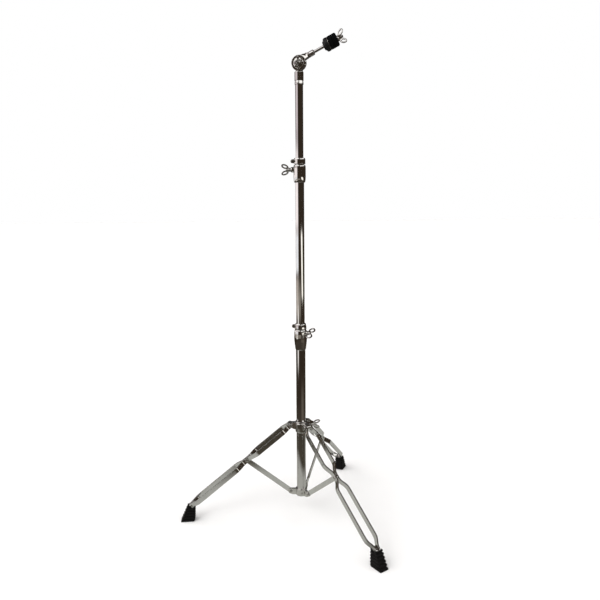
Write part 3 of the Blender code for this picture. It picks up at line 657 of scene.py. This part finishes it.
# ---- legs
def round_end(half_width, across, step):
    """Stations of a bar's half-round end, from its tip to its full width."""
    stations = []
    for angle in range(8, 91, step):
        cosine = math.cos(math.radians(angle))
        sine = math.sin(math.radians(angle))
        stations.append((-half_width * cosine, across, half_width * sine))
    return stations


def strap_line(side):
    """Stations of one strap in its leg's frame: x from the pinch towards the foot."""
    half = STRAP_WIDTH / 2
    top = LUG_HALF + GAP + STRAP_THICK / 2
    spread = 0.0186
    pinch = STRUT_THICK / 2 + GAP + STRAP_THICK / 2
    foot = SPACER_HALF + GAP + STRAP_THICK / 2
    bends = [(0.0, top, half), (0.0120, top, half), (0.0280, spread, half), (0.1370, spread, half),
             (0.1630, pinch, half), (0.1900, pinch, half), (0.2130, spread, half), (0.3740, spread, half),
             (0.3965, foot, half), (STRAP_END - 0.0035, foot, half)]
    end = [(STRAP_END - 0.0015, foot, half - 0.0008), (STRAP_END, foot, half - 0.0035)]
    line = round_end(half, top, 11) + soften(bends, 0.0090, steps=6) + end
    return [(along - LINK, side * offset, width) for along, offset, width in line]


def strut_line():
    """Stations of a strut, from its pivot at the bracket to its pivot at the leg."""
    start = round_end(STRUT_WIDTH / 2, 0, 10)
    return start + [(LINK - x, y, width) for x, y, width in reversed(start)]


FOOT_REACH = 0.0220             # from a foot's origin to the CAD foot's outer edge
FOOT_R = POLE.x - (span("rubber_foot_a", 0)[0] + FOOT_REACH)
FOOT_HEIGHT = span("rubber_foot_a")[1]
SOLE_ROUND = 0.0080             # height over which the inner side curves into the sole


def foot_rings():
    """Sections of the ribbed foot, from the sole up: the ribs stand over narrow grooves."""
    ribs = 5
    pitch = 0.0092
    groove = 0.0034
    corner = 0.0024
    levels = [(0.0, 0.0014), (0.0004, 0.0006), (0.0014, 0.0), (0.0026, 0.0)]
    for rib in range(1, ribs + 1):
        middle = rib * pitch - 0.0015
        for offset, depth in ((-0.0037, 0.0), (-0.0030, 0.0004), (-0.0020, 0.0012), (-0.0010, 0.0022),
                              (-0.0004, groove), (0.0004, groove), (0.0012, 0.0024), (0.0022, 0.0012),
                              (0.0031, 0.0003), (0.0037, 0.0)):
            levels.append((middle + offset, depth))
    levels = [level for level in levels if level[0] < FOOT_HEIGHT - 0.0030]
    levels += [(FOOT_HEIGHT - 0.0022, 0.0), (FOOT_HEIGHT - 0.0008, 0.0008), (FOOT_HEIGHT, 0.0024)]
    rings = []
    for height, inset in levels:
        share = height / FOOT_HEIGHT
        lift = max(0.0, 1.0 - height / SOLE_ROUND)
        inner = -0.0230 - 0.0020 * share + SOLE_ROUND * (1 - math.sqrt(1 - lift * lift))
        outer = 0.0216 - 0.0220 * share - 0.7 * inset
        half_y = 0.0153 - 0.0020 * share - inset
        ring = []
        for x, y, start in ((outer - corner, half_y - corner, 0), (inner + corner, half_y - corner, 90),
                            (inner + corner, corner - half_y, 180), (outer - corner, corner - half_y, 270)):
            ring += [(px, py, height) for px, py in arc((x, y), corner, start, start + 90, 8)]
        rings.append(ring)
    return rings


def cut(piece, mesh, matrix):
    """Cut a shape, given in a frame, out of a piece; the piece's modifiers are applied."""
    data = bpy.data.meshes.new("cutter")
    bmesh.ops.recalc_face_normals(mesh, faces=mesh.faces)
    mesh.to_mesh(data)
    mesh.free()
    cutter = bpy.data.objects.new("cutter", data)
    bpy.context.scene.collection.objects.link(cutter)
    cutter.matrix_world = matrix
    modifier = piece.modifiers.new("cut", "BOOLEAN")
    modifier.operation = "DIFFERENCE"
    modifier.solver = "EXACT"
    modifier.object = cutter
    bpy.context.view_layer.update()
    evaluated = piece.evaluated_get(bpy.context.evaluated_depsgraph_get())
    result = bpy.data.meshes.new_from_object(evaluated)
    piece.modifiers.clear()
    piece.data = result
    result.shade_smooth()
    result.set_sharp_from_angle(angle=SHARP_ANGLE)
    bpy.data.objects.remove(cutter)


def add_leg(letter, azimuth):
    """Strut, two straps, spacer, rubber foot and the rivets of one leg."""
    toward = Vector((math.cos(azimuth), math.sin(azimuth), 0))
    pivot = POLE + toward * PIVOT_R + Vector((0, 0, STRUT_PIVOT_Z))
    strut_frame = turned_frame(pivot, azimuth, -LEG_SLOPE)
    add("strut_" + letter, bar(strut_line(), STRUT_THICK), strut_frame, STRAP)
    add_rivet("strut_rivet_" + letter, STRUT_THICK / 2 + GAP + BRACKET_PLATE, turned_frame(pivot, azimuth))

    leg_frame = turned_frame(joint_place("leg_" + letter + "_pinch"), azimuth, LEG_SLOPE)
    for side, word in ((1, "left"), (-1, "right")):
        strap = bar(strap_line(side), STRAP_THICK)
        add("leg_" + letter + "_" + word + "_strap", strap, leg_frame, STRAP)
    add_rivet("leg_rivet_" + letter, STRUT_THICK / 2 + GAP + STRAP_THICK, leg_frame)
    at_foot = leg_frame @ Matrix.Translation((FOOT_RIVET - LINK, 0, 0))
    add_rivet("foot_rivet_" + letter, SPACER_HALF + GAP + STRAP_THICK, at_foot, 0.0040, 0.0012)
    half = STRAP_WIDTH / 2 - 0.0010
    spacer = block((-0.0085, STRAP_END - FOOT_RIVET), (-SPACER_HALF, SPACER_HALF), (-half, half))
    add("foot_spacer_" + letter, spacer, at_foot, STEEL)

    foot_frame = turned_frame(POLE + toward * FOOT_R, azimuth)
    foot = add("rubber_foot_" + letter, loft(foot_rings()), foot_frame, RUBBER)
    # room for the straps' ends: a notch through to just past the rivet, then a narrower pocket
    start = 0.3600 - LINK
    reach = STRAP_WIDTH / 2 + GAP
    heights = (-reach, reach + 0.02)
    broad = 0.0300
    cut(foot, block((start, FOOT_RIVET + 0.0045 - LINK), (-broad, broad), heights), leg_frame)
    narrow = SPACER_HALF + STRAP_THICK + 2 * GAP
    cut(foot, block((start, STRAP_END + GAP - LINK), (-narrow, narrow), heights), leg_frame)


for leg_letter, leg_azimuth in AZIMUTHS.items():
    add_leg(leg_letter, leg_azimuth)


# ---- tilter
def toothed_ring(inner_r, outer_r, root, crest, teeth=40):
    """Ring of radial teeth; the crests are at y = crest and the ring's back is at y = root."""
    rings = []
    valley = crest + 0.35 * (root - crest)
    for step in range(2 * teeth):
        angle = math.pi * step / teeth
        front = crest if step % 2 == 0 else valley
        ring = []
        for radius, y in ((inner_r, front), (outer_r, front), (outer_r, root), (inner_r, root)):
            ring.append((radius * math.cos(angle), y, radius * math.sin(angle)))
        rings.append(ring)
    return loft(rings, closed=True)


def disc_shells(sign):
    """Ratchet disc on the side of sign * y: radial teeth, and a flat rim round a shallow dome."""
    bevel = 0.0010
    edge = 0.0004
    dome_r = 0.0134
    dome_height = 0.0012
    face = GAP / 2 + 0.0010
    flat = DISC_THICK - edge
    profile = [(0, face), (DISC_R - edge, face), (DISC_R, face + 0.0005),
               (DISC_R, DISC_THICK - bevel - edge), (DISC_R - bevel, flat), (0.0148, flat),
               (0.0142, DISC_THICK - 0.0014), (dome_r, DISC_THICK - dome_height)]
    profile = soften(profile, edge)
    for step in range(1, 8):
        angle = math.radians(12 * step)
        profile.append((dome_r * math.cos(angle), DISC_THICK - dome_height + dome_height * math.sin(angle)))
    profile.append((0, DISC_THICK))
    disc = lathe([(radius, sign * along) for radius, along in profile], BODY_STEPS, "Y")
    teeth = toothed_ring(0.0120, DISC_R - 0.0006, sign * 0.0030, sign * GAP / 2)
    return [disc, teeth]


def arm_neck():
    """Neck from the front disc to the block that holds the rod, thinner towards its top."""
    steps = 40
    roundness = 0.65
    bottom = ROD_OFFSET - 0.0080
    top = ROD_OFFSET + 0.0100
    stations = ((0.0020, -0.0120, DISC_R - 0.0015, -0.0006), (0.0080, -0.0095, DISC_R - 0.0030, -0.0006),
                (0.0140, -0.0065, top + 0.0010, -0.0006), (0.0200, -0.0036, top, -0.0004),
                (0.0240, bottom, top, 0.0068), (0.0293, bottom, top, 0.0068),
                (0.0300, bottom + 0.0008, top - 0.0008, 0.0060))
    rings = []
    for x, low, high, back in stations:
        ring = []
        for step in range(steps):
            out, rise = rounded_square(2 * math.pi * step / steps, roundness)
            thick = (back + DISC_THICK - 0.0006) * (1 - 0.22 * (1 + rise))
            ring.append((x, back - thick * (1 + out) / 2, (low + high) / 2 + rise * (high - low) / 2))
        rings.append(ring)
    return loft(rings)


def add_tilter():
    """Ferrule with the rear disc, arm with the front disc, and the bolt, washer and nut."""
    bore = UPPER_TUBE_R + GAP
    tube_top = -0.0327
    mouth = -0.0565
    ferrule = soften([(0, -0.0212), (0.0100, -0.0212), (0.0126, -0.0235), (0.0126, -0.0458)], 0.0010)
    ferrule += soften([(0.0117, -0.0464), (0.0117, -0.0470), (0.0121, -0.0500), (0.0125, -0.0550),
                       (0.0122, mouth), (bore, mouth), (bore, tube_top), (0, tube_top)], 0.0008)
    neck = block((-0.0095, 0.0095), (0.0008, DISC_THICK), (-0.0260, -0.0080), 0.0015)
    shells = [lathe(ferrule, RING_STEPS), neck] + disc_shells(1)
    add("tilter_base", joined(*shells), TILTER_FRAME, CAST)
    add("tilter_arm", joined(*disc_shells(-1), arm_neck()), ARM_FRAME, CAST)

    face = DISC_THICK + GAP
    bolt_r = 0.0030
    bolt_start = -0.0240
    head_r = 0.0064
    head_top = face + 0.0044
    bolt = [(0, bolt_start)] + thread(bolt_r, bolt_start, -0.0120) + [(bolt_r, -0.0110), (bolt_r, face)]
    bolt += soften([(head_r, face), (head_r, face + 0.0036), (0.0052, head_top), (0, head_top)], 0.0008)
    add("tilter_bolt", lathe(bolt, SCREW_STEPS, "Y"), TILTER_FRAME, STEEL)
    bolt_bore = bolt_r + GAP
    washer_end = -face - 0.0014
    washer = [(bolt_bore, -face), (0.0090, -face), (0.0090, washer_end), (bolt_bore, washer_end)]
    washer = lathe(soften(washer, 0.0003, True), BOSS_STEPS, "Y")
    add("tilter_washer", washer, TILTER_FRAME, STEEL)
    nut_frame = TILTER_FRAME @ Matrix.Translation((0, -face - 0.0017, 0)) @ \
        Matrix.Rotation(math.pi / 2, 4, "X") @ Matrix.Rotation(math.radians(75.0), 4, "Z")
    nut = wing_mesh(0.0066, TILTER_WING, WING_LEAN, bore=bolt_bore)
    add("tilter_wing_nut", nut, nut_frame, CHROME)


add_tilter()


# ---- cymbal rod, seat and felts
def add_felt(node, start, end, start_rim, end_rim):
    """Pressed felt disc, each rim with its own rounding, with slightly uneven sides."""
    hole = ROD_SLEEVE_R + GAP
    near = FELT_R - start_rim
    far = FELT_R - end_rim
    outline = [(hole + (near - hole) * step / 6, start) for step in range(7)]
    outline += arc((near, start + start_rim), start_rim, -75, 0, 5)
    length = end - start - start_rim - end_rim
    outline += [(FELT_R, start + start_rim + length * step / 7) for step in range(1, 7)]
    outline += arc((far, end - end_rim), end_rim, 0, 90, 8)
    outline += [(far - (far - hole) * step / 6, end) for step in range(1, 7)]
    mesh = lathe(outline, FELT_STEPS, "X")
    for vertex in mesh.verts:
        radius = math.hypot(vertex.co.y, vertex.co.z)
        fuzz = noise.noise(vertex.co * 420.0) * 0.00022 + noise.noise(vertex.co * 1300.0) * 0.00012
        if radius > hole + 0.0006:
            growth = 1 + (fuzz - 0.00025) / radius
            vertex.co.y *= growth
            vertex.co.z *= growth
    piece = add(node, mesh, ROD_FRAME, FELT)


def along_rod(node):
    """Start and end of a turned CAD node on the rod, along the rod's line."""
    corners = [ROD_FRAME.inverted() @ vertex.co for vertex in frame["nodes"][node].data.vertices]
    return min(corner.x for corner in corners), max(corner.x for corner in corners)


def add_seat():
    """Cymbal rod with its lock nut, the seat, sleeve and washer on it, the felts and the nut."""
    rod_start = 0.0245
    rod_end = along_rod("cymbal_rod")[1]
    collar_r = 0.0074
    rod = [(0, rod_start)]
    rod += soften([(ROD_R, rod_start), (ROD_R, 0.0368), (collar_r, 0.0368), (collar_r, 0.0490),
                   (0.0060, 0.0502), (ROD_R, 0.0502), (ROD_R, 0.0940)], 0.0008)
    rod += thread(ROD_R, 0.0945, rod_end - 0.0006) + [(0, rod_end)]
    add("cymbal_rod", lathe(rod, BOSS_STEPS, "X"), ROD_FRAME, CHROME)

    hexagon = soften(arc((0, 0), 0.0080, 0, 300, 5), 0.0006, True)
    nut = moved(slab(hexagon, 0.0303, 0.0365, 0.0007), Matrix.Rotation(-math.pi / 2, 4, "Z"))
    add("rod_lock_nut", nut, ROD_FRAME, STEEL)

    bore = ROD_R + GAP
    start, top = along_rod("cymbal_seat")
    seat = [(bore, start), (0.0098, start), (0.0118, start + 0.0010), (0.0125, start + 0.0035),
            (0.0168, start + 0.0050), (FELT_R, start + 0.0075), (FELT_R, top), (bore, top)]
    seat = lathe(soften(seat, 0.0018, True), BODY_STEPS, "X")
    add("cymbal_seat", seat, ROD_FRAME, PLASTIC)
    for node, inner, outer, material, slot in (("rod_sleeve", bore, ROD_SLEEVE_R, NYLON, "nylon"),
                                               ("seat_washer", ROD_SLEEVE_R + GAP, 0.0172, STEEL, "steel")):
        profile = ring_profile(inner, outer, *along_rod(node), 0.0003)
        add(node, lathe(profile, RING_STEPS, "X"), ROD_FRAME, material)
    small_rim = 0.0009
    add_felt("lower_felt", *along_rod("lower_felt"), small_rim, small_rim)
    add_felt("upper_felt", *along_rod("upper_felt"), small_rim, 0.0042)
    nut_frame = ROD_FRAME @ Matrix.Translation((along_rod("upper_felt")[1] + GAP, 0, 0)) @ \
        Matrix.Rotation(math.pi / 2, 4, "Y") @ Matrix.Rotation(math.radians(-12.0), 4, "Z")
    nut = wing_mesh(0.0078, CYMBAL_WING, CYMBAL_WING_LEAN, bore=bore)
    add("cymbal_wing_nut", nut, nut_frame, CHROME)


add_seat()


# ---------------------------------------------------- floor, light and camera
CAMERA_TURN = math.radians(-5.9)        # the camera's way round the pole, from -Y
CAMERA_DISTANCE = 1.732
CAMERA_HEIGHT = 0.979
CAMERA_PITCH = math.radians(11.14)
CAMERA_ROLL = math.radians(-0.345)
CAMERA_LENS = 35.28                     # millimetres, on a sensor 36 mm wide
CAMERA_SHIFT = (-0.00083, 0.02988)
FLOOR_SIZE = 60.0
FLOOR_Z = -0.0004


def add_floor():
    """Wide pale floor that catches the shadows; the chrome doesn't show it."""
    bpy.ops.mesh.primitive_grid_add(x_subdivisions=8, y_subdivisions=8, size=FLOOR_SIZE,
                                    location=(0, 0, FLOOR_Z))
    floor = bpy.context.object
    floor.name = "floor"
    material, tree, shader = new_material("pale_floor", roughness=0.85)
    tone = add_noise(tree, 3.0, 2.0)
    tree.links.new(add_ramp(tree, tone, [(0.2, (0.90, 0.90, 0.895)), (0.8, (0.93, 0.93, 0.93))]),
                   shader.inputs["Base Color"])
    floor.data.materials.append(material)
    floor.visible_glossy = False


def add_floor_card(name, place, radius, stops):
    """Disc seen only in the chrome: bright floor, fading to the dark carpet.

    place is the way right, away from the camera and up, from the pole's foot.  stops give the
    colours from the disc's middle to its rim.
    """
    mesh = bmesh.new()
    bmesh.ops.create_circle(mesh, cap_ends=True, segments=64, radius=radius)
    data = bpy.data.meshes.new(name)
    mesh.to_mesh(data)
    mesh.free()
    card = bpy.data.objects.new(name, data)
    bpy.context.scene.collection.objects.link(card)
    card.location = POLE + Matrix.Rotation(CAMERA_TURN, 3, "Z") @ Vector(place)
    material = bpy.data.materials.new(name)
    material.use_nodes = True
    tree = material.node_tree
    tree.nodes.clear()
    coordinates = tree.nodes.new("ShaderNodeTexCoord")
    distance = tree.nodes.new("ShaderNodeVectorMath")
    distance.operation = "LENGTH"
    tree.links.new(coordinates.outputs["Object"], distance.inputs[0])
    share = add_range(tree, distance.outputs["Value"], 0.0, radius, 0.0, 1.0)
    glow = tree.nodes.new("ShaderNodeEmission")
    tree.links.new(add_ramp(tree, share, stops), glow.inputs["Color"])
    output = tree.nodes.new("ShaderNodeOutputMaterial")
    tree.links.new(glow.outputs[0], output.inputs["Surface"])
    data.materials.append(material)
    card.visible_camera = False
    card.visible_diffuse = False
    card.visible_shadow = False
    card.visible_transmission = False


def add_sun(name, direction, spread, strength):
    """Broad light that reaches the whole floor alike; the chrome doesn't show it."""
    data = bpy.data.lights.new(name, "SUN")
    data.angle = math.radians(spread)
    data.energy = strength
    lamp = bpy.data.objects.new(name, data)
    bpy.context.scene.collection.objects.link(lamp)
    lamp.rotation_euler = Vector(direction).to_track_quat("Z", "Y").to_euler()
    lamp.visible_glossy = False


DARK_ROOM = (0.035, 0.025, 0.017)

# Panels of the studio, each over the ones before it: azimuth range, its softness, elevation range,
# its softness, colour, and how many degrees the panel leans to the right for each degree below its
# top.  Azimuths are degrees from the camera's side, to the right positive.
STUDIO = (
    ((-400, 400), 1, (-120, -20), 2.0, (0.055, 0.045, 0.035), 0),  # carpet
    ((10, 70), 14, (-25, -18), 1.5, (0.12, 0.10, 0.08), 0),        # its lighter part on the right
    ((-118, -46), 4, (5, 60), 3.0, (0.72, 0.64, 0.66), 0),         # white wall on the left
    ((-145, -46), 4, (-3, 5), 1.5, (1.12, 1.04, 1.04), 0),         # three bands at its foot
    ((-145, -47), 4, (-6.8, -3), 0.5, (0.98, 0.99, 1.02), 0),
    ((-145, -47), 6, (-11, -7.2), 0.8, (0.54, 0.48, 0.43), 0),
    ((-60, 10), 18, (-11, -8), 1.5, (0.30, 0.27, 0.23), 0),        # faint band in front
    ((-80, -48), 5, (-16, -10), 1.2, (0.95, 0.92, 0.88), 0),       # low bright patch on the left
    ((24, 63), 4, (-9.3, -2.8), 0.5, (1.35, 1.30, 1.20), 2.3),     # bright strip on the right
    ((-112, -18), 4, (20, 48), 4.0, (1.35, 1.33, 1.30), 0),        # white ceiling on the left
    ((5, 100), 6, (16, 34), 3.0, (1.35, 1.33, 1.30), 0),           # soft box on the right
    ((150, 400), 10, (-60, 30), 6.0, (0.06, 0.06, 0.06), 0),       # dark wall behind the stand
    ((-400, -146), 8, (-60, 30), 6.0, (0.06, 0.06, 0.06), 0),
)


def add_world():
    """Studio of soft-edged panels that only reflections and light show; the camera sees white."""
    world = bpy.data.worlds.new("studio")
    bpy.context.scene.world = world
    world.use_nodes = True
    tree = world.node_tree
    links = tree.links

    def maths(operation, first, second=None):
        node = tree.nodes.new("ShaderNodeMath")
        node.operation = operation
        for socket, value in zip(node.inputs, (first, second)):
            if value is None:
                continue
            if isinstance(value, (int, float)):
                socket.default_value = value
            else:
                links.new(value, socket)
        return node.outputs[0]

    place = tree.nodes.new("ShaderNodeTexCoord")
    turn = tree.nodes.new("ShaderNodeVectorRotate")
    turn.rotation_type = "Z_AXIS"
    turn.inputs["Angle"].default_value = -CAMERA_TURN
    links.new(place.outputs["Generated"], turn.inputs["Vector"])
    parts = tree.nodes.new("ShaderNodeSeparateXYZ")
    links.new(turn.outputs["Vector"], parts.inputs["Vector"])
    right, away, up = parts.outputs
    azimuth = maths("MULTIPLY", maths("ARCTAN2", right, maths("MULTIPLY", away, -1.0)), 180 / math.pi)
    elevation = maths("MULTIPLY", maths("ARCSINE", up), 180 / math.pi)

    def window(value, low, high, soft):
        rise = add_range(tree, value, low - soft, low + soft, 0.0, 1.0, "SMOOTHSTEP")
        fall = add_range(tree, value, high - soft, high + soft, 0.0, 1.0, "SMOOTHSTEP")
        return maths("SUBTRACT", rise, fall)

    base = tree.nodes.new("ShaderNodeRGB")
    base.outputs[0].default_value = (*DARK_ROOM, 1.0)
    color = base.outputs[0]
    for azimuths, azimuth_soft, elevations, elevation_soft, panel, lean in STUDIO:
        across = azimuth
        if lean:
            above_top = maths("SUBTRACT", elevation, elevations[1])
            across = maths("ADD", azimuth, maths("MULTIPLY", above_top, lean))
        mask = maths("MULTIPLY", window(across, *azimuths, azimuth_soft),
                     window(elevation, *elevations, elevation_soft))
        mix = tree.nodes.new("ShaderNodeMix")
        mix.data_type = "RGBA"
        links.new(mask, mix.inputs["Factor"])
        links.new(color, mix.inputs["A"])
        mix.inputs["B"].default_value = (*panel, 1.0)
        color = mix.outputs["Result"]

    path = tree.nodes.new("ShaderNodeLightPath")
    seen = tree.nodes.new("ShaderNodeMix")
    seen.data_type = "RGBA"
    links.new(path.outputs["Is Camera Ray"], seen.inputs["Factor"])
    links.new(color, seen.inputs["A"])
    seen.inputs["B"].default_value = (1.0, 1.0, 1.0, 1.0)
    links.new(seen.outputs["Result"], tree.nodes["Background"].inputs["Color"])


add_floor()
add_world()
add_floor_card("floor_card", (-0.08, 0.03, -0.0008), 0.75,
               [(0.0, (0.46, 0.46, 0.42)), (0.46, (0.40, 0.40, 0.37)),
                (0.60, (0.070, 0.060, 0.045)), (1.0, (0.050, 0.043, 0.033))])
add_floor_card("floor_card_behind", (0.40, 0.43, -0.0006), 0.34,
               [(0.0, (0.41, 0.41, 0.38)), (0.85, (0.37, 0.37, 0.34)), (1.0, (0.070, 0.060, 0.045))])
add_sun("sky_light", (-0.25, -0.30, 1.0), spread=120.0, strength=2.45)
add_sun("key_light", (-0.9, -1.0, 1.3), spread=30.0, strength=0.8)


def add_camera():
    turn = Matrix.Rotation(CAMERA_TURN, 3, "Z")
    forward = turn @ Vector((0, math.cos(CAMERA_PITCH), -math.sin(CAMERA_PITCH)))
    right = turn @ Vector((1, 0, 0))
    up = right.cross(forward)
    cosine = math.cos(CAMERA_ROLL)
    sine = math.sin(CAMERA_ROLL)
    axes = (cosine * right + sine * up, cosine * up - sine * right, -forward)
    data = bpy.data.cameras.new("camera")
    data.sensor_width = 36.0
    data.lens = CAMERA_LENS
    data.shift_x, data.shift_y = CAMERA_SHIFT
    data.clip_start = 0.01
    camera = bpy.data.objects.new("camera", data)
    bpy.context.scene.collection.objects.link(camera)
    place = turn @ Vector((0, -CAMERA_DISTANCE, CAMERA_HEIGHT)) + POLE
    camera.matrix_world = Matrix.Translation(place) @ Matrix(axes).transposed().to_4x4()
    bpy.context.scene.camera = camera


add_camera()
bpy.context.scene.view_settings.view_transform = "Standard"
